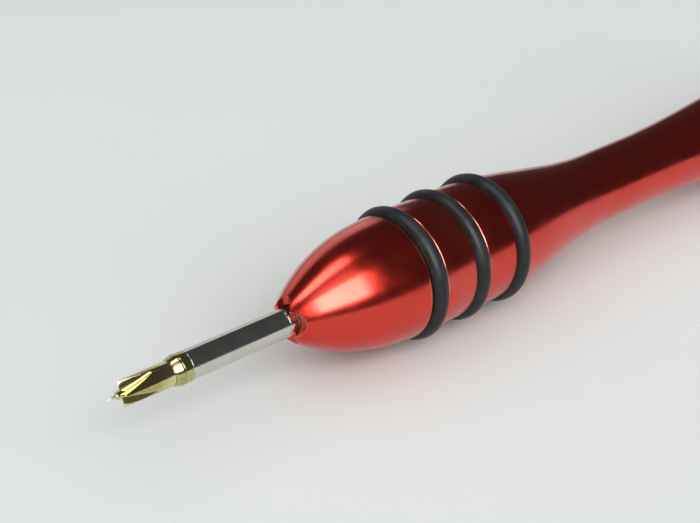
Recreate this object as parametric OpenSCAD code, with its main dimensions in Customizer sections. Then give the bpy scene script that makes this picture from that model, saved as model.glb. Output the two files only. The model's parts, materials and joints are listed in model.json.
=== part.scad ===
// Pin vise hand drill: a turned handle with three rubber rings, a scalloped
// nose cap that closes a slit collet on the bit, a spare collet stored behind
// a screwed plug, and a palm cap that spins on a ball thrust bearing.
// Every piece is turned about its own z axis with the mouth of the nose at 0
// and the palm end up, and laid() then puts it on its side, nose towards -X.

/* [Bit] */
// Diameter of the bit's steel shank
shank_d = 2.35; // [1.95:0.05:2.85]
// Bare shank between the mouth and the ferrule
shank_out = 9.1; // [7:0.1:14]
// Length of shank held inside the tool
shank_in = 19; // [15:0.5:20]
// Diameter of the fluted cutting head
cutter_d = 1.95; // [1.6:0.05:2.2]
// Length of the cutting head, in front of its stop collar
cutter_l = 4.1; // [3.4:0.05:5]
// Length of the tapering flutes
flute_l = 2.5; // [2.2:0.05:2.8]
// Angle between the walls of each flute
flute_angle = 94; // [86:1:98]
// How far each flute leans, so that its cutting wall stands steeper than its back
flute_lean = 10; // [0:1:12]
// Radius of a flute's rounded bottom
flute_round = 0.15; // [0.05:0.01:0.2]
// Radius of the core left where the flutes start
flute_core = 0.18; // [0.17:0.01:0.25]
// Diameter of the stop collar
collar_d = 2.45; // [2.4:0.01:2.9]
// Length of the stop collar
collar_l = 0.7; // [0.5:0.05:1.2]
// Diameter of the ferrule behind the stop collar
ferrule_d = 2.4; // [2.3:0.01:2.9]
// Length of the ferrule
ferrule_l = 0.7; // [0.4:0.05:2]
// Diameter of the steel pilot pin
pin_d = 0.22; // [0.16:0.01:0.26]
// Length of the pilot pin in front of its boss
pin_out = 0.7; // [0.4:0.05:1.2]

/* [Grip] */
// Diameter over the three rubber rings, on which the tool lies
ring_d = 11.64; // [10.8:0.02:15]
// Thickness of a rubber ring's cord
ring_cord = 1.5; // [1.2:0.05:1.8]
// Distance from one ring to the next
ring_pitch = 4.79; // [3.6:0.01:7]
// How far the rings stand out from the grip
ring_proud = 0.47; // [0.3:0.01:0.6]
// Length of the nose, from its mouth to the first ring
nose_l = 11.8; // [10.8:0.1:16]
// Gap around the shank in the mouth
mouth_gap = 0.075; // [0.05:0.005:0.15]
// Wall of the nose at its mouth
mouth_wall = 0.25; // [0.2:0.05:0.6]
// Depth of the four scallops in the mouth
scallop_depth = 0.7; // [0.3:0.05:1]
// Width of a scallop at the mouth
scallop_w = 2; // [1.4:0.1:2.1]
// Diameter of the waist behind the grip
waist_d = 6.64; // [6:0.02:9]
// Distance from the mouth to the middle of the waist
waist_at = 39.5; // [36:0.5:44]
// Distance from the mouth to the end of the handle
handle_l = 76; // [72:0.5:110]
// Diameter of the handle's back end
tail_d = 9.2; // [9.2:0.1:10]

/* [Chuck] */
// Wall of the collet's tail, around the shank
collet_wall = 0.775; // [0.6:0.025:0.95]
// How far the collet's head stands out past its tail
collet_step = 0.6; // [0.45:0.05:0.75]
// Wall of the spindle under the nose cap's thread
spindle_wall = 0.8; // [0.6:0.05:1]
// Pitch of both threads
thread_pitch = 0.5; // [0.4:0.05:0.6]
// Overall length of a collet
collet_l = 14.1; // [11.7:0.1:17]
// Width of the slits between the jaws
slit_w = 0.35; // [0.2:0.05:0.5]
// Bore of the spare collet, for finer bits
spare_bore = 1.6; // [0.8:0.1:2.4]

/* [Palm end] */
// Length of the anti-roll collar; its flats lie level with the rings
hex_l = 6; // [4:0.5:8]
// Diameter of the palm cap
palm_d = 10.4; // [10:0.1:11]
// Length of the palm cap
palm_l = 9.6; // [9:0.1:14]
// Diameter of the plain band behind the finger dimples
band_d = 9.6; // [9:0.1:10.8]
// Length of the plain band
band_l = 2.6; // [2:0.1:4]
// Diameter of the bearing balls
ball_d = 1; // [0.8:0.05:1.2]
// Diameter of the circle that the balls run on
ball_circle = 4.6; // [4:0.1:5.6]
// Number of bearing balls
ball_count = 8; // [6:1:10]

/* [Hidden] */
$fn = 96;
over = 1;            // how far a cut runs past the face it opens
slide_gap = 0.05;    // radial clearance of sliding and screwed pieces
shank_gap = 0.015;   // radial clearance of the shank in the collet
face_gap = 0.1;      // between faces that meet when two pieces are tightened
bevel = 0.2;         // on the edges of the turned steel pieces
curve_steps = 24;    // straight steps in each curved stretch of an outline

// stations along the tool, measured from the mouth
ferrule_z = -shank_out - ferrule_l;
collar_z = ferrule_z - collar_l;
cutter_z = collar_z - cutter_l;
boss_l = 0.4;
tip_z = cutter_z - boss_l - pin_out;
ring_r = ring_d / 2;
cord_r = ring_cord / 2;
ring_seat_r = ring_r - ring_cord;
grip_r = ring_r - ring_proud;
waist_r = waist_d / 2;
tail_r = tail_d / 2;
function ring_z(i) = nose_l + i * ring_pitch;
body_z = ring_z(0) - cord_r;
nose_end = body_z - face_gap;

// bit
shank_r = shank_d / 2;
cutter_r = cutter_d / 2;
spigot_r = 0.7;
spigot_l = 0.9;
boss_r = 0.27;
pin_tail = 1.35;
pin_point = 0.6;
collar_rim = 0.15;   // straight rim behind the collar's conical front
collar_step = 0.09;  // the cone starts this much outside the cutting head
mark_z = -0.3;       // depth mark, a fine ring turned in the shank at the mouth
mark_w = 0.15;
mark_depth = 0.06;
cutter_turn = 13.5;  // where the flutes stand

// collet and its cone
collet_z = 1.9;
collet_end = collet_z + collet_l;
collet_tip_r = shank_r + 0.575;
collet_tail_r = shank_r + collet_wall;
collet_head_r = collet_tail_r + collet_step;
cone_end = collet_z + 2.5;
head_end = cone_end + 0.6;
shoulder_l = 0.5;    // cone behind the head
slit_l = 9;
collet_chamfer = 0.3;

// spindle
thread_z = head_end + shoulder_l + 0.4;
thread_depth = 0.2;
spindle_bore_r = collet_tail_r + slide_gap;
thread_r = max(spindle_bore_r + spindle_wall + thread_depth, collet_head_r + 0.2);
spindle_r = spindle_bore_r + 0.6;
spindle_end = body_z + 13;
tail_bore_r = shank_r + 0.125;
tail_bore_z = collet_end + 1;
cross_pin_r = 0.5;

// nose
mouth_bore_r = shank_r + mouth_gap;
mouth_r = mouth_bore_r + mouth_wall;
scallop_r = (scallop_depth * scallop_depth + scallop_w * scallop_w / 4) / (2 * scallop_depth);
scallop_turn = -16.5; // where the scallops stand
nose_curve = 2.6;    // power of the nose's curve

// handle behind the grip
grip_end = (ring_z(1) + ring_z(2)) / 2;
waist_half = 2.5;    // half the straight stretch at the waist
seat_z = handle_l - 10;
hex_z = seat_z;
hex_chamfer = 0.5;
store_r = collet_head_r + 0.15;
plug_l = 6.4;
plug_z = handle_l - plug_l;
store_end = plug_z - 0.2;
spare_gap = 0.7;     // before the spare collet
spare_play = 2.6;    // behind it
spare_z = store_end - spare_play - collet_l;
store_z = spare_z - spare_gap;

// plug and its seal
plug_thread_r = store_r + 0.5;
seal_cord_r = 0.35;
seal_z = handle_l - 0.5;
seal_r = plug_thread_r + 0.13;
seal_bore_r = seal_r + seal_cord_r + 0.07;
flange_z = handle_l + slide_gap;
flange_end = handle_l + 1.6;
flange_r = tail_r + 0.15;
notch_count = 24;
notch_r = 0.35;
notch_out = 0.12;    // how far a notch's centre stands outside the flange

// bearing and palm cap
race_t = 0.7;
race_gap = 0.6;
ball_r = ball_d / 2;
ball_z = flange_end + race_t + race_gap / 2;
race_rear_z = flange_end + race_t + race_gap;
web_z = race_rear_z + race_t;
web_end = web_z + 1.4;
groove_gap = 0.02;
race_rim = 0.4;      // flat rim of a race outside its groove
race_front_r = ball_circle / 2 + ball_r + race_rim;
race_rear_r = race_front_r + 0.3;
cage_t = 0.3;
screw_r = 1;
bearing_clear = 0.3; // between the screw and the rings that turn round it
screw_z = handle_l - 4;
bush_r = 1.5;
washer_z = web_end + slide_gap;
washer_end = washer_z + 0.3;
washer_r = 2.4;
screw_head_r = 1.9;
screw_head_l = 1.25;
screw_top = washer_end + screw_head_l;
bush_gap = 0.03;
palm_z = flange_end + 0.4;
palm_end = palm_z + palm_l;
palm_r = palm_d / 2;
palm_bevel = 0.5;
palm_round = 1;
round_steps = 8;
band_r = band_d / 2;
band_z = palm_end - palm_round - band_l;
disc_r = band_r - palm_round - 0.2;
recess_r = disc_r - 0.2;
disc_z = palm_end - 2;
disc_end = palm_end + 0.4;
disc_bevel = 0.4;
dimple_count = 12;
dimple_r = 1.3;
dimple_depth = 0.3;
dimple_inset = 0.9;  // plain rim left before and behind the dimples

mid_z = (tip_z + disc_end) / 2;

// outlines ------------------------------------------------------------

// radius of the nose at a distance from the mouth
nose_full = nose_l + 0.7;
function nose_r(z) = mouth_r + (grip_r - mouth_r) * (1 - pow(1 - min(z / nose_full, 1), nose_curve));
// soft step from a to b as u goes from 0 to 1
function ease(a, b, u) = a + (b - a) * (1 - cos(180 * u)) / 2;
// points along a soft step between two stations
function ease_run(za, ra, zb, rb) = [
  for (i = [0:curve_steps]) [ease(ra, rb, i / curve_steps), za + (zb - za) * i / curve_steps]
];
// radius of the slope from the grip down to the waist, at a station on it
function slope_r(z) = ease(grip_r, waist_r, (z - grip_end) / (waist_at - waist_half - grip_end));
// crests and roots of a thread, drawn as rings, from one station to another
function thread_run(za, zb, r) = [
  for (i = [0:floor((zb - za) / thread_pitch) - 1])
    for (p = [[0.15, 0], [0.35, 0], [0.6, 1], [0.9, 1]])
      [r - thread_depth * p[1], za + (i + p[0]) * thread_pitch]
];

module laid() {
  translate([-mid_z, 0, ring_r]) rotate([0, 90, 0]) children();
}

module turned(points) {
  rotate_extrude() polygon(points);
}

module bore(r, za, zb) {
  translate([0, 0, za]) cylinder(r = r, h = zb - za);
}

module tube(ri, ro, za, zb) {
  turned([[ri, za], [ro, za], [ro, zb], [ri, zb]]);
}

// bit -----------------------------------------------------------------

module flute() {
  half = flute_angle / 2;
  tilt = atan((cutter_r - flute_core) / flute_l);
  run = flute_l / cos(tilt) + 2 * over;
  middle = flute_round / sin(half);
  touch_x = middle - flute_round * sin(half);
  touch_y = flute_round * cos(half);
  reach = 3;
  side = reach * tan(half);
  translate([flute_core - (middle - flute_round) / cos(tilt), 0, cutter_z])
    rotate([0, tilt, 0]) rotate([0, 0, flute_lean]) translate([0, 0, -over]) {
      linear_extrude(run) polygon([[touch_x, touch_y], [reach, side], [reach, -side], [touch_x, -touch_y]]);
      translate([middle, 0, 0]) cylinder(r = flute_round, h = run);
    }
}

module cutter_head() {
  color("darkgoldenrod") laid() difference() {
    union() {
      difference() {
        bore(cutter_r, cutter_z, collar_z);
        rotate([0, 0, cutter_turn]) for (i = [0:3]) rotate([0, 0, 90 * i]) flute();
      }
      bore(boss_r, cutter_z - boss_l, cutter_z + over);
    }
    bore(pin_d / 2, cutter_z - boss_l - over, cutter_z + pin_tail);
    bore(spigot_r, collar_z - spigot_l, collar_z + over);
  }
}

module pilot_pin() {
  color("silver") laid() turned([
    [0, tip_z], [pin_d / 2, tip_z + pin_point], [pin_d / 2, cutter_z + pin_tail], [0, cutter_z + pin_tail]
  ]);
}

module stop_collar() {
  edge = 0.06;
  color("gold") laid() turned([
    [spigot_r, collar_z], [cutter_r + collar_step, collar_z], [collar_d / 2, ferrule_z - collar_rim],
    [collar_d / 2, ferrule_z - edge], [collar_d / 2 - edge, ferrule_z], [spigot_r, ferrule_z]
  ]);
}

module shank_ferrule() {
  color("goldenrod") laid() tube(spigot_r, ferrule_d / 2, ferrule_z, -shank_out);
}

module bit_shank() {
  color("silver") laid() turned([
    [0, collar_z - spigot_l], [spigot_r, collar_z - spigot_l], [spigot_r, -shank_out], [shank_r, -shank_out],
    [shank_r, mark_z], [shank_r - mark_depth, mark_z], [shank_r - mark_depth, mark_z + mark_w],
    [shank_r, mark_z + mark_w], [shank_r, shank_in - bevel], [shank_r - bevel, shank_in], [0, shank_in]
  ]);
}

// chuck ---------------------------------------------------------------

module nose_cap() {
  lead_in = 0.5;
  outline = [for (i = [0:curve_steps]) let (z = nose_end * i / curve_steps) [nose_r(z), z]];
  color("crimson") laid() difference() {
    turned(concat([[0, 0]], outline, [[0, nose_end]]));
    bore(mouth_bore_r, -over, collet_z);
    // cone that squeezes the collet, a running gap outside the collet's own
    turned([
      [0, collet_z - lead_in], [mouth_bore_r, collet_z - lead_in], [collet_tip_r + slide_gap, collet_z],
      [collet_head_r + slide_gap, cone_end], [collet_head_r + slide_gap, cone_end + over],
      [0, cone_end + over]
    ]);
    bore(thread_r + slide_gap, (cone_end + head_end) / 2, nose_end + over);
    rotate([0, 0, scallop_turn]) for (i = [0:3])
      rotate([0, 0, 90 * i]) translate([0, 0, scallop_depth - scallop_r]) rotate([90, 0, 0])
        cylinder(r = scallop_r, h = 2 * mouth_r + over);
  }
}

module collet_shape(bore_d) {
  difference() {
    turned([
      [bore_d / 2, 0], [collet_tip_r, 0], [collet_head_r, cone_end - collet_z],
      [collet_head_r, head_end - collet_z], [collet_tail_r, head_end - collet_z + shoulder_l],
      [collet_tail_r, collet_l - collet_chamfer], [collet_tail_r - collet_chamfer, collet_l],
      [bore_d / 2, collet_l]
    ]);
    for (turn = [45, 135]) rotate([0, 0, turn])
      translate([-2 * collet_head_r, -slit_w / 2, -over]) cube([4 * collet_head_r, slit_w, slit_l + over]);
  }
}

module collet() {
  color("lightsteelblue") laid() translate([0, 0, collet_z]) collet_shape(shank_d + 2 * shank_gap);
}

module spare_collet() {
  color("lightsteelblue") laid() translate([0, 0, spare_z]) collet_shape(spare_bore);
}

module chuck_spindle() {
  color("slategray") laid() difference() {
    turned(concat(
      [[0, thread_z], [thread_r - thread_depth, thread_z]],
      thread_run(thread_z, body_z, thread_r),
      [[thread_r - thread_depth, body_z], [spindle_r, body_z], [spindle_r, spindle_end], [0, spindle_end]]
    ));
    bore(spindle_bore_r, thread_z - over, tail_bore_z);
    bore(tail_bore_r, tail_bore_z - over, spindle_end + over);
    cross_pin(over);
  }
}

module cross_pin(extra) {
  translate([0, 0, ring_z(2)]) rotate([0, 90, 0])
    cylinder(r = cross_pin_r, h = 2 * (ring_seat_r - face_gap + extra), center = true);
}

module spindle_pin() {
  color("gray") laid() cross_pin(0);
}

// handle --------------------------------------------------------------

module handle_body() {
  slope = ease_run(grip_end, grip_r, waist_at - waist_half, waist_r);
  seat_front = ring_z(2) - cord_r;
  seat_back = ring_z(2) + cord_r;
  color("crimson") laid() difference() {
    turned(concat(
      [[0, body_z], [ring_seat_r, body_z], [ring_seat_r, ring_z(0) + cord_r], [grip_r, ring_z(0) + cord_r]],
      [
        [grip_r, ring_z(1) - cord_r], [ring_seat_r, ring_z(1) - cord_r],
        [ring_seat_r, ring_z(1) + cord_r], [grip_r, ring_z(1) + cord_r]
      ],
      [for (p = slope) if (p[1] < seat_front) p],
      [
        [slope_r(seat_front), seat_front], [ring_seat_r, seat_front],
        [ring_seat_r, seat_back], [slope_r(seat_back), seat_back]
      ],
      [for (p = slope) if (p[1] > seat_back) p],
      ease_run(waist_at + waist_half, waist_r, seat_z, tail_r),
      [[tail_r, handle_l], [0, handle_l]]
    ));
    bore(spindle_r, body_z - over, spindle_end);
    bore(store_r, store_z, store_end + over);
    bore(plug_thread_r + slide_gap, store_end, handle_l + over);
    bore(seal_bore_r, seal_z - seal_cord_r - face_gap, handle_l + over);
    cross_pin(over);
  }
}

module o_ring(i) {
  color("dimgray") laid() translate([0, 0, ring_z(i)]) rotate_extrude()
    translate([ring_r - cord_r, 0]) circle(r = cord_r);
}

module anti_roll_collar() {
  corner_r = ring_r / cos(30);
  color("dimgray") laid() difference() {
    intersection() {
      translate([0, 0, hex_z]) rotate([0, 0, 30]) cylinder(r = corner_r, h = hex_l, $fn = 6);
      turned([
        [0, hex_z], [ring_r - hex_chamfer, hex_z], [corner_r, hex_z + corner_r - ring_r + hex_chamfer],
        [corner_r, hex_z + hex_l - corner_r + ring_r - hex_chamfer], [ring_r - hex_chamfer, hex_z + hex_l],
        [0, hex_z + hex_l]
      ]);
    }
    bore(tail_r, hex_z - over, hex_z + hex_l + over);
  }
}

// palm end ------------------------------------------------------------

module plug_seal() {
  color("dimgray") laid() translate([0, 0, seal_z]) rotate_extrude()
    translate([seal_r, 0]) circle(r = seal_cord_r);
}

module rear_plug() {
  groove_r = seal_r - seal_cord_r - bush_gap;
  groove_half = seal_cord_r + slide_gap;
  color("silver") laid() difference() {
    turned(concat(
      [[0, plug_z], [plug_thread_r - thread_depth, plug_z]],
      thread_run(plug_z, seal_z - groove_half, plug_thread_r),
      [
        [groove_r, seal_z - groove_half], [groove_r, flange_z], [flange_r - bevel, flange_z],
        [flange_r, flange_z + bevel], [flange_r, flange_end - bevel], [flange_r - bevel, flange_end],
        [0, flange_end]
      ]
    ));
    bore(screw_r, screw_z, flange_end + over);
    for (i = [0:notch_count - 1]) rotate([0, 0, 360 * i / notch_count])
      translate([flange_r + notch_out, 0, flange_z - over])
        cylinder(r = notch_r, h = flange_end - flange_z + 2 * over, $fn = 24);
  }
}

module swivel_screw() {
  slot_w = 0.5;
  slot_depth = 0.5;
  color("silver") laid() difference() {
    turned([
      [0, screw_z], [screw_r, screw_z], [screw_r, washer_end], [screw_head_r, washer_end],
      [screw_head_r, screw_top - bevel], [screw_head_r - bevel, screw_top], [0, screw_top]
    ]);
    translate([-screw_head_r - over, -slot_w / 2, screw_top - slot_depth])
      cube([2 * (screw_head_r + over), slot_w, slot_depth + over]);
  }
}

// groove that the balls run in
module ball_groove() {
  translate([0, 0, ball_z]) rotate_extrude() translate([ball_circle / 2, 0]) circle(r = ball_r + groove_gap);
}

module thrust_race_front() {
  color("lightgray") laid() difference() {
    tube(screw_r, race_front_r, flange_end, flange_end + race_t);
    ball_groove();
  }
}

module thrust_race_rear() {
  color("lightgray") laid() difference() {
    tube(screw_r + bearing_clear, race_rear_r, race_rear_z, web_z);
    ball_groove();
  }
}

module on_ball_circle() {
  for (i = [0:ball_count - 1]) rotate([0, 0, 360 * i / ball_count])
    translate([ball_circle / 2, 0, ball_z]) children();
}

module thrust_balls() {
  color("white") laid() on_ball_circle() sphere(r = ball_r);
}

module ball_cage() {
  cage_in = screw_r + bearing_clear;
  cage_out = race_front_r - face_gap;
  color("goldenrod") laid() difference() {
    tube(cage_in, cage_out, ball_z - cage_t / 2, ball_z + cage_t / 2);
    on_ball_circle() cylinder(r = ball_r + groove_gap, h = 2 * cage_t, center = true);
  }
}

module swivel_bush() {
  color("goldenrod") laid() tube(screw_r + bush_gap, bush_r, web_z, web_end);
}

module retaining_washer() {
  color("silver") laid() tube(screw_r, washer_r, washer_z, washer_end);
}

module swivel_cap() {
  rear_round = [
    for (i = [0:round_steps]) let (a = 90 * i / round_steps)
      [band_r - palm_round + palm_round * cos(a), palm_end - palm_round + palm_round * sin(a)]
  ];
  color("crimson") laid() difference() {
    turned(concat(
      [
        [0, palm_z], [palm_r - palm_bevel, palm_z], [palm_r, palm_z + palm_bevel],
        [palm_r, band_z], [band_r, band_z]
      ],
      rear_round,
      [[0, palm_end]]
    ));
    bore(race_rear_r, palm_z - over, web_z);
    bore(bush_r, web_z - over, web_end + over);
    bore(recess_r, web_end, disc_z + over);
    bore(disc_r, disc_z, palm_end + over);
    for (i = [0:dimple_count - 1]) rotate([0, 0, 360 * (i + 0.5) / dimple_count])
      translate([palm_r + dimple_r - dimple_depth, 0, palm_z + dimple_inset])
        cylinder(r = dimple_r, h = band_z - palm_z - 2 * dimple_inset);
  }
}

module palm_disc() {
  color("silver") laid() turned([
    [0, disc_z], [disc_r, disc_z], [disc_r, disc_end - disc_bevel], [disc_r - disc_bevel, disc_end],
    [0, disc_end]
  ]);
}

cutter_head();
pilot_pin();
stop_collar();
shank_ferrule();
bit_shank();
nose_cap();
collet();
chuck_spindle();
spindle_pin();
handle_body();
o_ring(0);  // o_ring_front
o_ring(1);  // o_ring_middle
o_ring(2);  // o_ring_rear
anti_roll_collar();
spare_collet();
plug_seal();
rear_plug();
swivel_screw();
thrust_race_front();
thrust_balls();
ball_cage();
thrust_race_rear();
swivel_bush();
retaining_washer();
swivel_cap();
palm_disc();
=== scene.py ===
import json
import math

import bmesh
import bpy
from mathutils import Matrix, Vector


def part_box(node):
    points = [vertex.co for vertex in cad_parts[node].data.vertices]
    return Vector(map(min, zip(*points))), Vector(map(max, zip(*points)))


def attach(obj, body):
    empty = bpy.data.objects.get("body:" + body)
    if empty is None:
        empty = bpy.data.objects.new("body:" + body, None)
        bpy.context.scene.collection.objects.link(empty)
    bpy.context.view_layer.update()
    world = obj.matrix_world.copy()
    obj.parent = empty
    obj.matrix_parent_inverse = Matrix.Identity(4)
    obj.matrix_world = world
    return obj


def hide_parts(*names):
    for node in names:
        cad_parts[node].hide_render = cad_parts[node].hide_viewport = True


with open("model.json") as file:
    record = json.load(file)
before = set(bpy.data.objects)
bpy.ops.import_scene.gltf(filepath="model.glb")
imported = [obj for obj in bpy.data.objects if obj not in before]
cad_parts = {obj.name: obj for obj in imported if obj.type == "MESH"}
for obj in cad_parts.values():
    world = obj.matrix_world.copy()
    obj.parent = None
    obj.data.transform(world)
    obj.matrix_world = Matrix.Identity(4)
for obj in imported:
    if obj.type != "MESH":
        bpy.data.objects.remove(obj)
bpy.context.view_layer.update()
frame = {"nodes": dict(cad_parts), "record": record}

# A pin vise hand drill lying on a sheet of paper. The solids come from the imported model, and
# this script gives them their finish or replaces them with finer turned and ground pieces.

scene = bpy.context.scene
mm = 0.001

# everything is turned round one axis: stations are in mm behind the mouth of the nose
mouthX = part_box("nose_cap")[0].x
ringLow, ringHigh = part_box("o_ring_front")
axisZ = (ringLow.z + ringHigh.z) / 2


def toolPoint(radius, station, turn):
    # turn 0 looks straight down at the bench
    angle = math.radians(turn)
    across = Vector((0, math.sin(angle), -math.cos(angle))) * radius * mm
    return Vector((mouthX + station * mm, 0, axisZ)) + across


def span(node):
    # where a node starts and ends along the tool, and its radius, in mm
    low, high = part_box(node)
    return (low.x - mouthX) / mm, (high.x - mouthX) / mm, (high.z - low.z) / 2 / mm


# where the camera stands, as seen from the middle of the front ring
view = {
    "bearing": -40.33,   # degrees, 0 looks along the bench at right angles to the tool
    "elevation": 29.5,
    "lens": 63.35,       # mm
    "sensor": 36,        # mm
    "reach": 101.9,      # mm from the camera to the plane of the front ring's middle
    "right": 3.93,       # mm that the ring's middle lies right of the middle of the view
    "below": 0.99,       # mm that it lies below it
    "nearest": 1,        # mm, nothing closer than this is drawn
}


def placeCamera():
    bearing = math.radians(view["bearing"])
    tilt = math.radians(view["elevation"])
    forward = Vector((-math.sin(bearing) * math.cos(tilt), math.cos(bearing) * math.cos(tilt),
                      -math.sin(tilt)))
    right = forward.cross(Vector((0, 0, 1))).normalized()
    up = right.cross(forward)
    ringMiddle = (ringLow + ringHigh) / 2
    lens = bpy.data.cameras.new("benchCamera")
    lens.lens = view["lens"]
    lens.sensor_width = view["sensor"]
    lens.clip_start = view["nearest"] * mm
    camera = bpy.data.objects.new("benchCamera", lens)
    aside = right * view["right"] - up * view["below"]
    camera.location = ringMiddle - (forward * view["reach"] + aside) * mm
    camera.rotation_euler = forward.to_track_quat("-Z", "Y").to_euler()
    scene.collection.objects.link(camera)
    scene.camera = camera


def linear(hexColour):
    # sRGB hex to the linear values that shaders take
    parts = [int(hexColour[i:i + 2], 16) / 255 for i in (0, 2, 4)]
    return [c / 12.92 if c <= 0.04045 else ((c + 0.055) / 1.055) ** 2.4 for c in parts] + [1]


def addNode(tree, kind, settings={}, links={}):
    # adds a node, sets its options and unlinked sockets, and links the others
    made = tree.nodes.new(kind)
    for key, value in settings.items():
        if isinstance(key, str) and hasattr(made, key):
            setattr(made, key, value)
        else:
            made.inputs[key].default_value = value
    for key, source in links.items():
        tree.links.new(source, made.inputs[key])
    return made


# softboxes that only make highlights, and cast no light on the bench
highlightBoxes = {
    # direction from the nose (along the tool, across it, up), distance and size in m, and watts
    "overhead": {"towards": (-0.25, 0.24, 0.94), "distance": 0.5, "size": (0.3, 0.15), "power": 0.8},
    "front": {"towards": (-0.3, -0.69, 0.65), "distance": 0.5, "size": (0.3, 0.4), "power": 3.7},
    "bridge": {"towards": (-0.28, -0.2, 0.94), "distance": 0.55, "size": (0.3, 0.14), "power": 0.13},
    "back": {"towards": (0.2, 0.94, 0.3), "distance": 0.6, "size": (0.5, 0.26), "power": 0.3},
}
# diffusing cloth above and in front of the bench, which lights it without hard shadows
tentCloths = {
    "tentRoof": {"towards": (0.0, 0.0, 1.0), "distance": 0.7, "size": (2.0, 2.0), "power": 9.5},
    "tentFront": {"towards": (-0.35, -0.85, 0.4), "distance": 0.8, "size": (2.0, 1.2), "power": 14.0},
}
softboxTint = "FEFFFE"
roomLight = {"tint": "E8EDEC", "strength": 0.075}


def matrixOf(x, y, z, place):
    # a placing from the three axes of an object and its place
    matrix = Matrix((x, y, z)).transposed().to_4x4()
    matrix.translation = place
    return matrix


def lightStudio():
    aim = toolPoint(0, 5, 0)   # a point inside the nose
    for name, box in {**highlightBoxes, **tentCloths}.items():
        lamp = bpy.data.lights.new(name + "Softbox", "AREA")
        lamp.shape = "RECTANGLE"
        lamp.size, lamp.size_y = box["size"]
        lamp.energy = box["power"]
        lamp.color = linear(softboxTint)[:3]
        softbox = bpy.data.objects.new(name + "Softbox", lamp)
        towards = Vector(box["towards"]).normalized()
        # the long side of each box lies along the tool
        along = Vector((1, 0, 0)) - towards * towards.x
        along.normalize()
        across = towards.cross(along)
        softbox.matrix_world = matrixOf(along, across, towards, aim + towards * box["distance"])
        softbox.visible_glossy = name in highlightBoxes
        softbox.visible_diffuse = name in tentCloths
        scene.collection.objects.link(softbox)
    world = bpy.data.worlds.new("room")
    world.use_nodes = True
    background = world.node_tree.nodes["Background"]
    background.inputs["Color"].default_value = linear(roomLight["tint"])
    background.inputs["Strength"].default_value = roomLight["strength"]
    scene.world = world


paper = {
    "width": 2.4,          # m
    "white": "E2E5E4",
    "shade": "DCDFDE",
    "cloud": 40,           # mm, patches of a slightly darker tone
    "fibre": 0.35,         # mm, width of the felt marks
    "relief": 0.006,       # mm
}


def paperMaterial():
    # uncoated drawing paper: matt, with a faint felt texture that only shows close up
    material = bpy.data.materials.new("uncoatedPaper")
    material.use_nodes = True
    tree = material.node_tree
    shader = tree.nodes["Principled BSDF"]
    shader.inputs["Roughness"].default_value = 0.9
    shader.inputs["Specular IOR Level"].default_value = 0.2
    place = addNode(tree, "ShaderNodeTexCoord")
    felt = addNode(tree, "ShaderNodeTexNoise", {"Scale": 1 / (paper["fibre"] * mm), "Detail": 4.0},
                   {"Vector": place.outputs["Object"]})
    cloud = addNode(tree, "ShaderNodeTexNoise", {"Scale": 1 / (paper["cloud"] * mm), "Detail": 2.0},
                    {"Vector": place.outputs["Object"]})
    tone = addNode(tree, "ShaderNodeMix", {"data_type": "RGBA", 6: linear(paper["white"]),
                                          7: linear(paper["shade"])}, {0: cloud.outputs["Fac"]})
    relief = addNode(tree, "ShaderNodeBump", {"Strength": 0.5, "Distance": paper["relief"] * mm},
                     {"Height": felt.outputs["Fac"]})
    tree.links.new(tone.outputs[2], shader.inputs["Base Color"])
    tree.links.new(relief.outputs["Normal"], shader.inputs["Normal"])
    return material


def layPaper():
    half = paper["width"] / 2
    mesh = bpy.data.meshes.new("benchPaper")
    corners = [(-half, -half, 0), (half, -half, 0), (half, half, 0), (-half, half, 0)]
    mesh.from_pydata(corners, [], [(0, 1, 2, 3)])
    mesh.materials.append(paperMaterial())
    sheet = bpy.data.objects.new("benchPaper", mesh)
    scene.collection.objects.link(sheet)


placeCamera()
lightStudio()
layPaper()
print("camera, lights and paper in place")

# noise mostly stays between these values, and a finish stretches them to its own range
noiseRange = {"From Min": 0.3, "From Max": 0.7}


def newFinish(name, spec):
    # a shader with its fixed values on its own sockets
    material = bpy.data.materials.new(name)
    material.use_nodes = True
    shader = material.node_tree.nodes["Principled BSDF"]
    for socket, value in spec.items():
        shader.inputs[socket].default_value = value
    return material, material.node_tree, shader


def latheMarks(tree, place, feed):
    # one-dimensional noise along the tool: grooves of uneven depth that run round it
    split = addNode(tree, "ShaderNodeSeparateXYZ", {}, {"Vector": place.outputs["Object"]})
    count = addNode(tree, "ShaderNodeMath", {"operation": "MULTIPLY", 1: 1 / (feed * mm)},
                    {0: split.outputs["X"]})
    return addNode(tree, "ShaderNodeTexNoise", {"noise_dimensions": "1D", "Scale": 1.0, "Detail": 3.0},
                   {"W": count.outputs["Value"]})


def coverSurface(tree, shader, colour, pattern, gloss, height, depth, strength=1.0):
    # gives the shader a colour, a roughness that follows a pattern, and a relief `depth` mm deep
    roughness = addNode(tree, "ShaderNodeMapRange",
                        {**noiseRange, "To Min": gloss[0], "To Max": gloss[1]}, {"Value": pattern})
    relief = addNode(tree, "ShaderNodeBump", {"Strength": strength, "Distance": depth * mm},
                     {"Height": height})
    tree.links.new(colour, shader.inputs["Base Color"])
    tree.links.new(roughness.outputs["Result"], shader.inputs["Roughness"])
    tree.links.new(relief.outputs["Normal"], shader.inputs["Normal"])


anodised = {
    "dye": "DD4232",
    "deepDye": "CE3226",
    "bareEdge": "E9A79A",     # where handling has thinned the dye on an edge
    "feed": 0.13,             # mm, drawn three times coarser than the turning so that it shows
    "groove": 0.00035,        # mm
    "cloud": 2.5,             # mm, patches of fingering on the gloss
    "wearPatches": 0.8,       # the most that a patch of wear lets through
    "gloss": (0.18, 0.27),    # roughness, from the shiniest patches to the dullest
}


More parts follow.
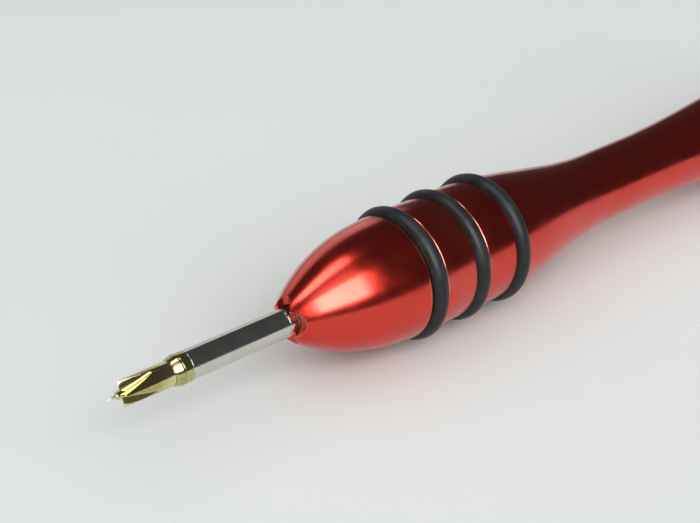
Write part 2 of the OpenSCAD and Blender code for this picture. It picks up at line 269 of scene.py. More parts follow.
def redAnodisedAluminium():
    # turned aluminium, bright dipped, anodised and dyed: a metal gloss seen through clear red,
    # with the faint rings of the turning, a whiter sheen of the oxide at low angles and worn edges
    material, tree, shader = newFinish("redAnodisedAluminium", {
        "Metallic": 1.0, "Coat Weight": 0.35, "Coat Roughness": 0.16, "Coat IOR": 1.6})
    place = addNode(tree, "ShaderNodeTexCoord")
    marks = latheMarks(tree, place, anodised["feed"])
    clouds = addNode(tree, "ShaderNodeTexNoise", {"Scale": 1 / (anodised["cloud"] * mm), "Detail": 3.0},
                     {"Vector": place.outputs["Object"]})
    dye = addNode(tree, "ShaderNodeMix", {"data_type": "RGBA", 6: linear(anodised["dye"]),
                                         7: linear(anodised["deepDye"])}, {0: clouds.outputs["Fac"]})
    wearAndHighlightMask = addNode(tree, "ShaderNodeAttribute", {"attribute_name": "edgeWearAndHighlight"})
    patches = addNode(tree, "ShaderNodeMapRange",
                      {**noiseRange, "To Min": 0.0, "To Max": anodised["wearPatches"]},
                      {"Value": clouds.outputs["Fac"]})
    patchy = addNode(tree, "ShaderNodeMath", {"operation": "MULTIPLY"},
                     {0: wearAndHighlightMask.outputs["Fac"], 1: patches.outputs["Result"]})
    worn = addNode(tree, "ShaderNodeMix", {"data_type": "RGBA", 7: linear(anodised["bareEdge"])},
                   {0: patchy.outputs["Value"], 6: dye.outputs[2]})
    coverSurface(tree, shader, worn.outputs[2], clouds.outputs["Fac"], anodised["gloss"],
                 marks.outputs["Fac"], anodised["groove"])
    return material


cutterCoat = {
    "gold": "D6C98C",
    "olive": "8C8250",        # thinner, duller patches of the coating
    # painted highlight: a paler gold painted on the edges where the coating catches the light
    "paintedEdgeHighlight": "EFE6B4",        # edges where the coating catches the light
    "grain": 0.05,            # mm, grinding lines along the flutes
    "speck": 0.11,            # mm, dull specks
    "groove": 0.0003,         # mm
    "gloss": (0.12, 0.2),
}


def groundCoatedSteel():
    # tool steel ground to shape and coated a pale gold: streaky along the grinding, with dull specks
    material, tree, shader = newFinish("groundCoatedSteel", {"Metallic": 1.0})
    place = addNode(tree, "ShaderNodeTexCoord")
    # the grinding lines are ten times longer than they are wide, and run along the bit
    drawn = addNode(tree, "ShaderNodeMapping", {"Scale": (0.1, 1.0, 1.0)},
                    {"Vector": place.outputs["Object"]})
    lines = addNode(tree, "ShaderNodeTexNoise", {"Scale": 1 / (cutterCoat["grain"] * mm), "Detail": 2.0},
                    {"Vector": drawn.outputs["Vector"]})
    specks = addNode(tree, "ShaderNodeTexNoise", {"Scale": 1 / (cutterCoat["speck"] * mm), "Detail": 4.0,
                                                  "Roughness": 0.65}, {"Vector": place.outputs["Object"]})
    dulled = addNode(tree, "ShaderNodeMapRange", noiseRange, {"Value": specks.outputs["Fac"]})
    tone = addNode(tree, "ShaderNodeMix", {"data_type": "RGBA", 6: linear(cutterCoat["gold"]),
                                          7: linear(cutterCoat["olive"])}, {0: dulled.outputs["Result"]})
    # the bent edges take the paler gold, a painted highlight
    wearAndHighlightMask = addNode(tree, "ShaderNodeAttribute", {"attribute_name": "edgeWearAndHighlight"})
    paintedEdgeHighlight = addNode(tree, "ShaderNodeMix", {"data_type": "RGBA", 7: linear(cutterCoat["paintedEdgeHighlight"])},
                    {0: wearAndHighlightMask.outputs["Fac"], 6: tone.outputs[2]})
    coverSurface(tree, shader, paintedEdgeHighlight.outputs[2], specks.outputs["Fac"], cutterCoat["gloss"],
                 lines.outputs["Fac"], cutterCoat["groove"])
    return material


def turnedMetal(name, bright, dull, feed, groove, gloss, blotch=0.9):
    # a plain turned metal: rings of the tool, and patches where it has dulled. Lengths are in mm
    material, tree, shader = newFinish(name, {"Metallic": 1.0})
    place = addNode(tree, "ShaderNodeTexCoord")
    marks = latheMarks(tree, place, feed)
    patches = addNode(tree, "ShaderNodeTexNoise", {"Scale": 1 / (blotch * mm), "Detail": 4.0},
                      {"Vector": place.outputs["Object"]})
    tone = addNode(tree, "ShaderNodeMix", {"data_type": "RGBA", 6: linear(bright), 7: linear(dull)},
                   {0: patches.outputs["Fac"]})
    coverSurface(tree, shader, tone.outputs[2], patches.outputs["Fac"], gloss, marks.outputs["Fac"], groove)
    return material


def polishedToolSteel():
    # centreless ground shank: nearly a mirror, with very fine rings
    return turnedMetal("polishedToolSteel", "D8D7CF", "C4C3BC", feed=0.06, groove=0.00012,
                       gloss=(0.12, 0.2))


def oiledSpringSteel():
    # hardened and oil blacked: dark brown-grey with a low gloss
    return turnedMetal("oiledSpringSteel", "77736D", "4E4B48", feed=0.12, groove=0.0009,
                       gloss=(0.28, 0.45))


def bearingSteel():
    # lapped chrome steel of the races and balls
    return turnedMetal("bearingSteel", "E2E3E4", "CFD1D4", feed=0.05, groove=0.0001, gloss=(0.06, 0.12))


def turnedBrass():
    # free-cutting brass of the cage and bush, slightly tarnished
    return turnedMetal("turnedBrass", "E3C47A", "B98F48", feed=0.1, groove=0.0006, gloss=(0.22, 0.38))


def satinAluminium():
    # turned and clear anodised: pale grey, a soft sheen and clear tool rings
    return turnedMetal("satinAluminium", "DFE1E3", "CDD0D3", feed=0.11, groove=0.001,
                       gloss=(0.24, 0.34), blotch=2.0)


rubber = {
    "black": "161718",
    "bloom": "252628",        # greyish bloom that moulded rubber gets
    "patch": 1.08,            # mm, size of the patches of bloom
    "pore": 0.09,             # mm, skin texture from the mould
    "relief": 0.004,          # mm
    "gloss": (0.36, 0.52),
}


def mouldedRubber():
    # nitrile rubber: near black, a broad grey sheen, a fine skin and traces of dust
    material, tree, shader = newFinish("mouldedRubber", {
        "Specular IOR Level": 0.25, "IOR": 1.52, "Sheen Weight": 0.05, "Sheen Roughness": 0.4})
    place = addNode(tree, "ShaderNodeTexCoord")
    skin = addNode(tree, "ShaderNodeTexNoise", {"Scale": 1 / (rubber["pore"] * mm), "Detail": 3.0},
                   {"Vector": place.outputs["Object"]})
    bloom = addNode(tree, "ShaderNodeTexNoise", {"Scale": 1 / (rubber["patch"] * mm), "Detail": 5.0},
                    {"Vector": place.outputs["Object"]})
    bloomed = addNode(tree, "ShaderNodeMapRange", noiseRange, {"Value": bloom.outputs["Fac"]})
    tone = addNode(tree, "ShaderNodeMix", {"data_type": "RGBA", 6: linear(rubber["black"]),
                                          7: linear(rubber["bloom"])}, {0: bloomed.outputs["Result"]})
    coverSurface(tree, shader, tone.outputs[2], bloom.outputs["Fac"], rubber["gloss"],
                 skin.outputs["Fac"], rubber["relief"], strength=0.6)
    return material


acetal = {
    "black": "1D1E20",
    "scuffed": "303234",
    "spark": 0.16,            # mm, spark-eroded mould texture
    "relief": 0.005,          # mm
    "gloss": (0.34, 0.46),
}


def mouldedAcetal():
    # black acetal from a spark-eroded mould: satin, with edges rubbed a little paler
    material, tree, shader = newFinish("mouldedAcetal", {"IOR": 1.48})
    place = addNode(tree, "ShaderNodeTexCoord")
    spark = addNode(tree, "ShaderNodeTexVoronoi", {"Scale": 1 / (acetal["spark"] * mm)},
                    {"Vector": place.outputs["Object"]})
    wearAndHighlightMask = addNode(tree, "ShaderNodeAttribute", {"attribute_name": "edgeWearAndHighlight"})
    tone = addNode(tree, "ShaderNodeMix", {"data_type": "RGBA", 6: linear(acetal["black"]),
                                          7: linear(acetal["scuffed"])}, {0: wearAndHighlightMask.outputs["Fac"]})
    coverSurface(tree, shader, tone.outputs[2], spark.outputs["Distance"], acetal["gloss"],
                 spark.outputs["Distance"], acetal["relief"], strength=0.5)
    return material


finishes = {
    "red_anodised": redAnodisedAluminium(),
    "coated_cutter": groundCoatedSteel(),
    "bright_steel": polishedToolSteel(),
    "spring_steel": oiledSpringSteel(),
    "bearing_steel": bearingSteel(),
    "cage_brass": turnedBrass(),
    "bare_aluminium": satinAluminium(),
    "ring_rubber": mouldedRubber(),
    "black_acetal": mouldedAcetal(),
}

# inner pieces keep their solids and take the new finish of their slot
for subpart in frame["record"]["subparts"]:
    for slot in frame["nodes"][subpart["node"]].material_slots:
        slot.material = finishes[subpart["material_slot"]]
print("finishes made:", ", ".join(sorted(finishes)))

# a rounded corner takes at most this much of either side
cornerShare = 0.45
# edges wear, and on the cutter take a painted highlight, in proportion to their bend: fully at about
# fullBend (radians), and not at all under the untouched share of it
edgeWearAndHighlight = {"fullBend": 0.35, "untouched": 0.3}


def softCorners(outline, closed=False, steps=4):
    # outline points are (radius, station) or (radius, station, corner radius), all in mm
    result = []
    last = len(outline) - 1
    for i, point in enumerate(outline):
        if len(point) < 3 or (not closed and i in (0, last)):
            result.append(tuple(point[:2]))
            continue
        corner = Vector(point[:2])
        before = Vector(outline[i - 1][:2]) - corner
        after = Vector(outline[(i + 1) % len(outline)][:2]) - corner
        half = before.angle(after) / 2
        reach = min(point[2] / math.tan(half), cornerShare * before.length, cornerShare * after.length)
        start = corner + before.normalized() * reach
        end = corner + after.normalized() * reach
        inward = (before.normalized() + after.normalized()).normalized()
        centre = corner + inward * (reach / math.cos(half))
        radius = (start - centre).length
        for k in range(steps + 1):
            ray = (start - centre).lerp(end - centre, k / steps).normalized()
            result.append(tuple(centre + ray * radius))
    return result


def around(outline, sides):
    # the same outline at every turn, ending on top of the first
    return [[(r, s, 360 * i / sides) for r, s in outline] for i in range(sides + 1)]


def markEdges(work):
    # how sharply the surface bends outwards at each vertex, which the finishes read as wear, and the
    # cutter's as where a highlight is painted
    layer = work.verts.layers.float.new("edgeWearAndHighlight")
    for vertex in work.verts:
        bends = [e.calc_face_angle_signed(0) for e in vertex.link_edges if e.is_manifold]
        worn = max(bends, default=0) / edgeWearAndHighlight["fullBend"] - edgeWearAndHighlight["untouched"]
        vertex[layer] = min(max(worn, 0), 1)


def spinPiece(name, columns, slot, body, nodes, closed=False, bevel=0, smooth=32):
    # columns go once round the tool, each a list of (radius, station, turn), and edges that bend
    # more than `smooth` degrees stay sharp
    work = bmesh.new()
    grid = [[work.verts.new(toolPoint(*point)) for point in column] for column in columns]
    rows = len(columns[0])
    for left, right in zip(grid, grid[1:]):
        for i in range(rows if closed else rows - 1):
            j = (i + 1) % rows
            work.faces.new((left[i], left[j], right[j], right[i]))
    # joins the first column to the last one, and the points that meet on the axis
    bmesh.ops.remove_doubles(work, verts=work.verts, dist=2e-8)
    bmesh.ops.dissolve_degenerate(work, edges=work.edges, dist=1e-8)
    bmesh.ops.recalc_face_normals(work, faces=work.faces)
    if not bevel:
        markEdges(work)
    mesh = bpy.data.meshes.new(name)
    work.to_mesh(mesh)
    work.free()
    finishPiece(name, mesh, slot, body, nodes, bevel, smooth)


def finishPiece(name, mesh, slot, body, nodes, bevel, smooth):
    # gives a mesh its finish and hangs it on its body in place of the solids it stands for
    mesh.materials.append(finishes[slot])
    piece = bpy.data.objects.new(name, mesh)
    scene.collection.objects.link(piece)
    if bevel:
        mesh = bakeBevel(piece, bevel)
    mesh.polygons.foreach_set("use_smooth", [True] * len(mesh.polygons))
    mesh.set_sharp_from_angle(angle=math.radians(smooth))
    weighting = piece.modifiers.new("weighting", "WEIGHTED_NORMAL")
    weighting.keep_sharp = True
    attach(piece, body)
    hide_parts(*nodes)
    print("made", name, len(mesh.polygons), "faces")


def bakeBevel(piece, width):
    # breaks the ground edges by a hair and marks them
    edge = piece.modifiers.new("brokenEdge", "BEVEL")
    edge.width = width * mm
    edge.segments = 2
    edge.limit_method = "ANGLE"
    edge.angle_limit = math.radians(24)
    edge.use_clamp_overlap = True
    ready = piece.evaluated_get(bpy.context.evaluated_depsgraph_get())
    mesh = bpy.data.meshes.new_from_object(ready)
    piece.modifiers.clear()
    work = bmesh.new()
    work.from_mesh(mesh)
    markEdges(work)
    work.to_mesh(mesh)
    work.free()
    piece.data = mesh
    return mesh


def scoopRadius(centre, scoop, off):
    # distance from the axis to a round scoop whose middle is at `centre`, off degrees to its side
    angle = math.radians(off)
    inside = max(scoop ** 2 - (centre * math.sin(angle)) ** 2, 0)
    return centre * math.cos(angle) - math.sqrt(inside)


def scoopEdge(radius, centre, scoop):
    # half the angle that such a scoop takes out of a round of that radius
    ratio = (radius ** 2 + centre ** 2 - scoop ** 2) / (2 * radius * centre)
    return math.degrees(math.acos(min(max(ratio, -1), 1)))


def ease(a, b, u):
    # goes from a to b as u goes from 0 to 1, level at both ends
    return a + (b - a) * (1 - math.cos(math.pi * u)) / 2


# the head of the bit, in mm and degrees
cutter = {
    "radius": 0.975,
    "core": 0.18,           # radius left at a flute's bottom at the front
    "fluteAngle": 94,
    "fluteLean": 10,        # the cutting wall of a flute stands this much steeper than its middle
    "fluteRound": 0.15,     # radius of a flute's bottom
    "fluteLength": 2.5,
    "bossLength": 0.4,
    "bossRadius": 0.27,
    "bossRoot": 0.5,        # the boss reaches this far into the head
    "turn": 13.5,           # where the first flute stands
    "brokenEdge": 0.014,    # width of the ground edges
}
fluteHalf = math.radians(cutter["fluteAngle"] / 2)
fluteTilt = math.atan((cutter["radius"] - cutter["core"]) / cutter["fluteLength"])
fluteMiddle = cutter["fluteRound"] / math.sin(fluteHalf)


def fluteFloor(side):
    # height of a flute's wall over the point of its V, at a distance to the side of its middle
    if abs(side) >= cutter["fluteRound"] * math.cos(fluteHalf):
        return abs(side) / math.tan(fluteHalf)
    return fluteMiddle - math.sqrt(cutter["fluteRound"] ** 2 - side ** 2)


def aboveFlute(radius, off, behind):
    # how far a point stands out of the flute, `behind` mm behind the front of the head
    point = cutter["core"] - (fluteMiddle - cutter["fluteRound"]) / math.cos(fluteTilt)
    point += math.tan(fluteTilt) * behind
    angle, lean = math.radians(off), math.radians(cutter["fluteLean"])
    height = (radius * math.cos(angle) - point) * math.cos(fluteTilt)
    side = radius * math.sin(angle)
    return (height * math.cos(lean) + side * math.sin(lean)
            - fluteFloor(side * math.cos(lean) - height * math.sin(lean)))


def bisect(check, low, high):
    # the value between low and high where check stops being true
    for _ in range(36):
        middle = (low + high) / 2
        if check(middle):
            low = middle
        else:
            high = middle
    return low


def cutterColumns():
    front = span("cutter_head")[0] + cutter["bossLength"]
    back = span("cutter_head")[1]
    radius, run = cutter["radius"], cutter["fluteLength"]
    fluteRows, inSteps, outSteps = 30, 24, 24
    rows = []
    for i in range(fluteRows + 1):
        behind = run * (1 - (1 - i / fluteRows) ** 2)
        # a flute leans over, so its two edges stand at different angles
        first = -bisect(lambda off: aboveFlute(radius, -off, behind) > 0, 0, 60)
        last = bisect(lambda off: aboveFlute(radius, off, behind) > 0, 0, 60)
        rows.append((behind, first, last))
    columns = []
    for flute in range(4):
        middle = cutter["turn"] + 90 * flute
        for step in range(inSteps + outSteps):
            column = [(0, front, 0)]
            for behind, first, last in rows:
                if step < inSteps:
                    off = first + (last - first) * step / inSteps
                    here = bisect(lambda r: aboveFlute(r, off, behind) < 0, 0, radius)
                else:
                    off = last + (90 + first - last) * (step - inSteps) / outSteps
                    here = radius
                column.append((here, front + behind, middle + off))
            column.append((radius, back, column[-1][2]))
            column.append((0, back, 0))
            columns.append(column)
    columns.append([(r, s, a + 360) for r, s, a in columns[0]])
    return columns


def makeCutter():
    spinPiece("flutedHead", cutterColumns(), "coated_cutter", "bit", ["cutter_head"],
              bevel=cutter["brokenEdge"])
    bossFront = span("cutter_head")[0]
    pin = span("pilot_pin")[2]
    buried = bossFront + cutter["bossLength"] + cutter["bossRoot"]
    outline = softCorners([(pin, bossFront, 0.015), (cutter["bossRadius"], bossFront, 0.05),
                           (cutter["bossRadius"], buried), (pin, buried)], closed=True)
    spinPiece("pinBoss", around(outline, 64), "coated_cutter", "bit", ["cutter_head"], closed=True)


# the rest of the bit, in mm
bit = {
    "tip": 0.03,             # radius left at the end of the needle's point
    "point": 0.6,            # length of the needle's point
    "tenon": 0.7,            # radius of the shank's front end, inside the collar and the ferrule
    "collarStep": 0.09,      # the collar's cone starts this much outside the head
    "collarRim": 0.15,       # straight rim behind the cone
    "rimChamfer": 0.06,
    "shankChamfer": 0.2,
    "edge": 0.02,            # rounding of the small edges
    "shoulder": 0.03,        # rounding of the shank's front
    "softEdge": 0.05,
    "markAt": -0.3,          # the setting mark, a groove round the shank at the nose
    "markWidth": 0.15,
    "markDepth": 0.06,
}


def makePilotPin():
    start, end, radius = span("pilot_pin")
    outline = softCorners([(0, start), (bit["tip"], start + 0.01, 0.01),
                           (radius, start + bit["point"], bit["softEdge"]), (radius, end), (0, end)])
    spinPiece("pilotNeedle", around(outline, 48), "bright_steel", "bit", ["pilot_pin"])


def makeStopCollar():
    start, end, radius = span("stop_collar")
    tenon, edge, chamfer = bit["tenon"], bit["edge"], bit["rimChamfer"]
    outline = softCorners([
        (tenon, start), (cutter["radius"] + bit["collarStep"], start, edge),
        (radius, end - bit["collarRim"], 0.1), (radius, end - chamfer, edge),
        (radius - chamfer, end, edge), (tenon, end)], closed=True)
    spinPiece("stopCollar", around(outline, 128), "coated_cutter", "bit", ["stop_collar"], closed=True)


def makeFerrule():
    start, end, radius = span("shank_ferrule")
    outline = softCorners([(bit["tenon"], start), (radius, start, bit["edge"]),
                           (radius, end, bit["softEdge"]), (bit["tenon"], end)], closed=True)
    spinPiece("shankFerrule", around(outline, 128), "coated_cutter", "bit", ["shank_ferrule"], closed=True)


def makeShank():
    start, end, radius = span("bit_shank")
    shoulder = span("shank_ferrule")[1]
    edge, chamfer = bit["edge"], bit["shankChamfer"]
    groove = radius - bit["markDepth"]
    markFrom = bit["markAt"]
    markTo = markFrom + bit["markWidth"]
    outline = softCorners([
        (0, start), (bit["tenon"], start), (bit["tenon"], shoulder), (radius, shoulder, bit["shoulder"]),
        (radius, markFrom, edge), (groove, markFrom, edge), (groove, markTo, edge), (radius, markTo, edge),
        (radius, end - chamfer, bit["softEdge"]), (radius - chamfer, end, bit["softEdge"]), (0, end)])
    spinPiece("bitShank", around(outline, 128), "bright_steel", "bit", ["bit_shank"])


makeCutter()
makePilotPin()
makeStopCollar()
makeFerrule()
makeShank()
print("bit made")

# nose cap, in mm and degrees
nose = {
    "mouth": 1.5,            # outside radius at the mouth
    "bore": 1.25,
    "boreEnd": 1.4,
    "fullAt": 0.7,           # the curve reaches the grip's radius this far behind the front ring
    "curve": 2.6,            # higher is blunter
    "scallopDepth": 0.7,
    "scallopWidth": 2.0,
    "scallopTurn": -106.5,
    "lipEnd": 3,             # the outside has more points in front of this station
    "edge": 0.05,            # rounding of the rim
    "rearBevel": 0.12,
    "cone": (1.8, 1.9, 2.6, 4.4),   # the collet's cone: radius and station at its start and its end
    "thread": (3.05, 4.7),   # radius and start of the screwed bore
}
gripRadius = span("handle_body")[2]
ringStations = [(span(n)[0] + span(n)[1]) / 2 for n in ("o_ring_front", "o_ring_middle", "o_ring_rear")]


def noseRadius(station):
    u = min(station / (ringStations[0] + nose["fullAt"]), 1)
    return nose["mouth"] + (gripRadius - nose["mouth"]) * (1 - (1 - u) ** nose["curve"])


def scallopCut(side):
    # how deep a scallop reaches at a distance to the side of its middle
    depth, width = nose["scallopDepth"], nose["scallopWidth"]
    radius = (depth ** 2 + width ** 2 / 4) / (2 * depth)
    return depth - radius + math.sqrt(max(radius ** 2 - side ** 2, 0)) if abs(side) < width / 2 else 0


def outerRim(sine):
    # station where a scallop leaves the outside of the nose
    return bisect(lambda s: scallopCut(noseRadius(s) * sine) > s, 0, nose["scallopDepth"])


def noseColumns(sides=480, bodyRows=40, lipRows=24, rimPoints=5):
    end = span("nose_cap")[1]
    lipEnd, edge = nose["lipEnd"], nose["edge"]
    coneStart, coneAt, coneWide, coneEnd = nose["cone"]
    threadRadius, threadStart = nose["thread"]
    inside = [(nose["bore"], nose["boreEnd"]), (coneStart, coneAt), (coneWide, coneEnd),
              (coneWide, threadStart), (threadRadius, threadStart), (threadRadius, end)]
    columns = []
    for i in range(sides + 1):
        turn = 360 * i / sides
        off = (turn - nose["scallopTurn"] + 45) % 90 - 45
        sine = abs(math.sin(math.radians(off)))
        rim = outerRim(sine)
        stations = [end - (end - lipEnd) * k / bodyRows for k in range(1, bodyRows)]
        stations += [lipEnd - (lipEnd - rim) * (k / lipRows) ** 0.7 for k in range(lipRows)]
        outside = [(noseRadius(end) - nose["rearBevel"], end)] + [(noseRadius(s), s) for s in stations]
        rimRadius = noseRadius(rim)
        across = [rimRadius + (nose["bore"] - rimRadius) * k / rimPoints for k in range(rimPoints + 1)]
        rimLine = [(r, max(scallopCut(r * sine), 0)) for r in across]
        rimLine[0] = (rimRadius, rim, edge)
        rimLine[-1] = rimLine[-1] + (edge,)
        outline = softCorners(outside + rimLine + inside, closed=True, steps=3)
        columns.append([(r, s, turn) for r, s in outline])
    return columns


spinPiece("noseShell", noseColumns(), "red_anodised", "nose", ["nose_cap"], closed=True, smooth=40)

# handle: radii and stations, in mm
grip = {
    "ringWidth": 0.75,       # half the width of a ring seat
    "ringSeat": 4.32,
    "edge": 0.1,
    "endEdge": 0.15,
    "waist": 3.32,
    "waistFrom": 37,
    "waistTo": 42,
    "tailFrom": 66,
    "tail": 4.6,
    "spindleBore": 2.6,
    "spindleEnd": 24.05,
    "store": (2.7, 52.0, 69.4),   # radius, start and end of the room for the spare collet
    "thread": 3.25,
    "sealBore": (3.75, 75.05),    # radius and start
}


def makeHandle():
    start, end, radius = span("handle_body")
    slopeStart = (ringStations[1] + ringStations[2]) / 2

    def slope(station):
        u = min(max((station - slopeStart) / (grip["waistFrom"] - slopeStart), 0), 1)
        return ease(radius, grip["waist"], u)

    edge, half, seat = grip["edge"], grip["ringWidth"], grip["ringSeat"]
    outline = [(0, grip["spindleEnd"]), (grip["spindleBore"], grip["spindleEnd"]),
               (grip["spindleBore"], start), (seat, start, 0.05)]
    for station in ringStations:
        if station != ringStations[0]:
            outline += [(slope(station - half), station - half, edge), (seat, station - half, edge)]
        outline += [(seat, station + half, edge), (slope(station + half), station + half, edge)]
        if station == ringStations[1]:
            outline += [(slope(slopeStart + 0.4 * k), slopeStart + 0.4 * k) for k in range(4)]
    behindRings = ringStations[2] + half
    steps = 60
    for k in range(1, steps + 1):
        station = behindRings + (grip["waistFrom"] - behindRings) * k / steps
        outline.append((slope(station), station))
    for k in range(steps + 1):
        station = grip["waistTo"] + (grip["tailFrom"] - grip["waistTo"]) * k / steps
        outline.append((ease(grip["waist"], grip["tail"], k / steps), station))
    sealRadius, sealAt = grip["sealBore"]
    store, storeStart, storeEnd = grip["store"]
    outline += [(grip["tail"], end, grip["endEdge"]), (sealRadius, end, 0.06), (sealRadius, sealAt),
                (grip["thread"], sealAt), (grip["thread"], storeEnd), (store, storeEnd),
                (store, storeStart), (0, storeStart)]
    spinPiece("handleShell", around(softCorners(outline), 256), "red_anodised", "handle",
              ["handle_body"], smooth=40)


makeHandle()

ringMould = {"flashWidth": 0.05, "flashHeight": 0.012}   # mm, the line where the mould closes


def makeRing(node, name, count=56):
    start, end, outer = span(node)
    middle, cord = (start + end) / 2, (end - start) / 2
    outline = []
    for k in range(count):
        angle = 2 * math.pi * k / count
        # the flash stands on the outer and inner lines of the ring
        line = abs(math.sin(angle)) * cord
        flash = ringMould["flashHeight"] * math.exp(-(line / ringMould["flashWidth"]) ** 2)
        here = cord - ringMould["flashHeight"] + flash
        outline.append((outer - cord + here * math.cos(angle), middle + here * math.sin(angle)))
    spinPiece(name, around(outline, 256), "ring_rubber", "handle", [node], closed=True, smooth=60)


makeRing("o_ring_front", "frontRing")
makeRing("o_ring_middle", "middleRing")
makeRing("o_ring_rear", "rearRing")
print("nose, handle and rings made")

# anti-roll collar, in mm
hexCollar = {"chamfer": 0.5, "corner": 0.45, "edge": 0.14, "bore": 4.6}


def hexRadius(turn, flat, corner):
    # a flat's middle stands at 0 and its corner at 30 degrees
    off = abs((turn + 30) % 60 - 30)
    tangent = math.degrees(math.atan((flat - corner) * math.tan(math.radians(30)) / flat))
    if off <= tangent:
        return flat / math.cos(math.radians(off))
    middle = (flat - corner) / math.cos(math.radians(30))
    away = math.radians(30 - off)
    return middle * math.cos(away) + math.sqrt(corner ** 2 - (middle * math.sin(away)) ** 2)


def makeHexCollar():
    start, end, flat = span("anti_roll_collar")
    columns = []
    edge = hexCollar["edge"]
    low = flat - hexCollar["chamfer"]
    for i in range(361):
        wide = hexRadius(i, flat, hexCollar["corner"])
        slant = wide - low
        outline = [(hexCollar["bore"], start), (low, start, edge), (wide, start + slant, edge),
                   (wide, end - slant, edge), (low, end, edge), (hexCollar["bore"], end)]
        columns.append([(r, s, i) for r, s in softCorners(outline, closed=True)])
    spinPiece("antiRollCollar", columns, "black_acetal", "handle", ["anti_roll_collar"], closed=True)


makeHexCollar()

# the threads of the spindle and the plug, in mm
thread = {
    "pitch": 0.5,
    "depth": 0.2,
    "fade": 0.3,     # length over which a thread's end runs out
    # share of the pitch, and how far down from the crest (0) to the root (1)
    "form": ((0.1, 0.0), (0.35, 0.0), (0.6, 1.0), (0.85, 1.0)),
}


def threadRows(outer, start, end, turn):
    # a right-hand thread at one turn round the axis, fading out at both ends
    rows = []
    shift = turn / 360
    for k in range(-1, int((end - start) / thread["pitch"]) + 2):
        for share, drop in thread["form"]:
            station = start + (k + share + shift) * thread["pitch"]
            station = min(max(station, start), end)
            nearEnd = min(station - start, end - station) / thread["fade"]
            fade = min(max(nearEnd, 0), 1)
            rows.append((outer - thread["depth"] + thread["depth"] * (1 - drop) * fade, station))
    return rows


def threadedColumns(before, outer, start, end, after, sides=144):
    columns = []
    for i in range(sides + 1):
        turn = 360 * i / sides
        outline = before + threadRows(outer, start, end, turn) + after
        columns.append([(r, s, turn) for r, s in outline])
    return columns


# chuck spindle: radii and stations, in mm
spindle = {
    "shank": 2.6,
    "bore": 2.0,
    "tailBore": 1.3,
    "tailBoreFrom": 17.0,
    "threadRadius": 3.0,
    "chamfer": 0.15,
    "threadInset": 0.2,      # from the front to the first turn
    "threadGap": 0.1,        # from the last turn to the shoulder
}


def makeSpindle():
    start, end, _ = span("chuck_spindle")
    shoulder = span("handle_body")[0]
    root = spindle["threadRadius"] - thread["depth"]
    chamfer = spindle["chamfer"]
    before = softCorners([(spindle["tailBore"], end), (spindle["tailBore"], spindle["tailBoreFrom"]),
                          (spindle["bore"], spindle["tailBoreFrom"]), (spindle["bore"], start + chamfer),
                          (spindle["bore"] + chamfer, start), (root - chamfer, start),
                          (root, start + chamfer)])
    after = [(root, shoulder), (spindle["shank"], shoulder), (spindle["shank"], end)]
    columns = threadedColumns(before, spindle["threadRadius"], start + spindle["threadInset"],
                              shoulder - spindle["threadGap"], after)
    spinPiece("threadedSpindle", columns, "spring_steel", "handle", ["chuck_spindle"], closed=True)


# rear plug: radii and stations, in mm
plug = {
    "threadRadius": 3.2,
    "threadInset": 0.2,
    "threadGap": 0.1,
    "chamfer": 0.15,
    "groove": 2.95,
    "grooveHalf": 0.4,
    "sealAt": 75.5,
    "flange": 4.75,
    "flangeFrom": 76.05,
    "bore": 1.0,
    "boreFrom": 72.0,
    "notches": 24,
    "notchRadius": 0.35,
    "notchOut": 0.12,        # a notch's centre stands this far outside the flange
    "bevel": 0.2,
}


def makePlug():
    start, end, _ = span("rear_plug")
    flange, flangeFrom, bevel = plug["flange"], plug["flangeFrom"], plug["bevel"]
    centre = flange + plug["notchOut"]
    edge = scoopEdge(flange, centre, plug["notchRadius"])
    pitch = 360 / plug["notches"]
    turns = []
    for notch in range(plug["notches"]):
        middle = pitch * notch
        turns += [middle + edge * (k / 5 - 1) for k in range(10)]
        turns += [middle + edge + (pitch - 2 * edge) * k / 5 for k in range(5)]
    turns.append(turns[0] + 360)
    root = plug["threadRadius"] - thread["depth"]
    grooveFrom = plug["sealAt"] - plug["grooveHalf"]
    before = [(0, plug["boreFrom"]), (0, start), (root - plug["chamfer"], start),
              (root, start + plug["chamfer"])]
    columns = []
    for turn in turns:
        off = (turn + pitch / 2) % pitch - pitch / 2
        rim = scoopRadius(centre, plug["notchRadius"], off) if abs(off) < edge else flange
        low = min(rim, flange - bevel)
        rows = threadRows(plug["threadRadius"], start + plug["threadInset"],
                          grooveFrom - plug["threadGap"], turn)
        after = softCorners([
            (root, grooveFrom), (plug["groove"], grooveFrom), (plug["groove"], flangeFrom),
            (low, flangeFrom, 0.02), (rim, flangeFrom + flange - low, 0.04),
            (rim, end - flange + low, 0.04), (low, end, 0.02),
            (plug["bore"], end), (plug["bore"], plug["boreFrom"])])
        columns.append([(r, s, turn) for r, s in before + rows + after])
    spinPiece("notchedPlug", columns, "bare_aluminium", "plug", ["rear_plug"], closed=True)


makeSpindle()
makePlug()

# palm cap: radii and stations, in mm
palm = {
    "bevel": 0.5,
    "round": 1.0,
    "band": 4.8,
    "bandLength": 2.6,
    "dimples": 12,
    "dimpleRadius": 1.3,
    "dimpleDepth": 0.3,
    "inset": 0.9,            # from the ends of the dimpled stretch to the dimples
    "runOut": 1.0,           # each dimple rises out of the cap over this length
    "cavity": 3.5,
    "webFrom": 79.6,
    "webTo": 81.0,
    "bush": 1.5,
    "discSeat": 0.2,         # width of the step that the disc sits on
    "brokenEdge": 0.04,
}


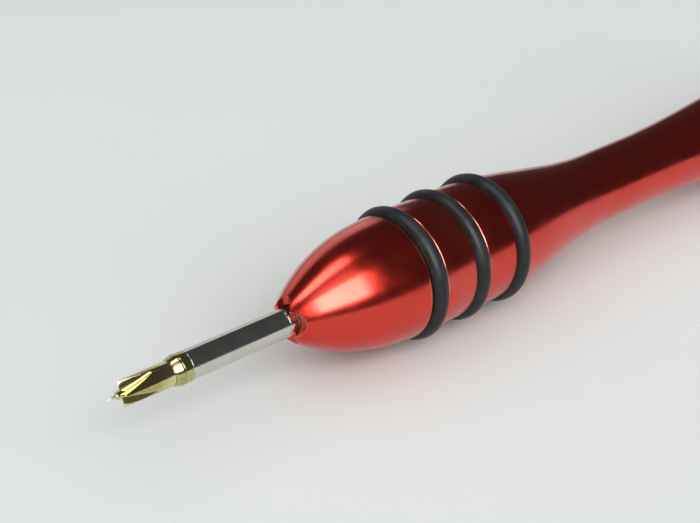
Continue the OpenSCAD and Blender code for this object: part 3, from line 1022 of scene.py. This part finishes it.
def palmColumns():
    start, end, radius = span("swivel_cap")
    bandFrom = end - palm["round"] - palm["bandLength"]
    dimpleFrom, dimpleTo = start + palm["inset"], bandFrom - palm["inset"]
    middle, half = (dimpleFrom + dimpleTo) / 2, (dimpleTo - dimpleFrom) / 2
    rows = 36
    discFrom, _, discRadius = span("palm_disc")
    seat = discRadius - palm["discSeat"]
    base = softCorners([(palm["cavity"], start, 0.05), (radius - palm["bevel"], start, 0.1),
                        (radius, start + palm["bevel"], 0.15), (radius, dimpleFrom)])
    wall = [(radius, dimpleFrom + (dimpleTo - dimpleFrom) * k / rows) for k in range(1, rows)]
    back = softCorners([(radius, dimpleTo), (radius, bandFrom, 0.12), (palm["band"], bandFrom, 0.1),
                        (palm["band"], end, palm["round"]), (discRadius, end, 0.06),
                        (discRadius, discFrom)], steps=8)
    inner = [(seat, discFrom), (seat, palm["webTo"]), (palm["bush"], palm["webTo"]),
             (palm["bush"], palm["webFrom"]), (palm["cavity"], palm["webFrom"])]
    inSteps, outSteps = 14, 14
    pitch = 360 / palm["dimples"]
    columns = []
    for dimple in range(palm["dimples"]):
        for step in range(inSteps + outSteps):
            column = []
            for number, (r, s) in enumerate(base + wall + back + inner):
                onWall = len(base) <= number < len(base) + rows - 1
                away = max(abs(s - middle) - (half - palm["runOut"]), 0) / palm["runOut"]
                depth = palm["dimpleDepth"] * max(1 - away ** 2, 0) if onWall else 0
                centre = radius + palm["dimpleRadius"] - depth
                edge = scoopEdge(radius, centre, palm["dimpleRadius"]) if depth > 1e-6 else 0
                if step < inSteps:
                    off = edge * (2 * step / inSteps - 1)
                    r = scoopRadius(centre, palm["dimpleRadius"], off) if edge else r
                else:
                    off = edge + (pitch - 2 * edge) * (step - inSteps) / outSteps
                column.append((r, s, pitch * (dimple + 0.5) + off))
            columns.append(column)
    columns.append([(r, s, a + 360) for r, s, a in columns[0]])
    return columns


# palm disc, in mm
disc = {
    "step": 0.4,             # the disc's edge is cut back this much, in and down
    "rim": 0.9,
    "dish": 0.12,
    "rings": 7,
    "ringDepth": 0.02,
    "centre": 0.35,
    "pip": 0.06,             # what is left standing in the middle
}


def makePalmDisc():
    start, end, radius = span("palm_disc")
    step = disc["step"]
    floor = end - disc["dish"]
    inner = radius - disc["rim"] - disc["dish"]
    outline = [(0, start), (radius, start), (radius, end - step, 0.1), (radius - step, end, 0.08),
               (radius - disc["rim"], end, 0.05), (inner, floor, 0.05)]
    steps = 90
    for k in range(1, steps):
        r = inner - (inner - disc["centre"]) * k / steps
        wave = math.sin(2 * math.pi * disc["rings"] * k / steps)
        outline.append((r, floor - disc["ringDepth"] * wave))
    outline += [(disc["centre"], floor), (0, floor + disc["pip"])]
    spinPiece("dishedDisc", around(softCorners(outline), 192), "bare_aluminium", "palm", ["palm_disc"])


spinPiece("palmCap", palmColumns(), "red_anodised", "palm", ["swivel_cap"], closed=True,
          bevel=palm["brokenEdge"], smooth=40)
makePalmDisc()
print("plug and palm end made")

scene.view_settings.view_transform = "Standard"
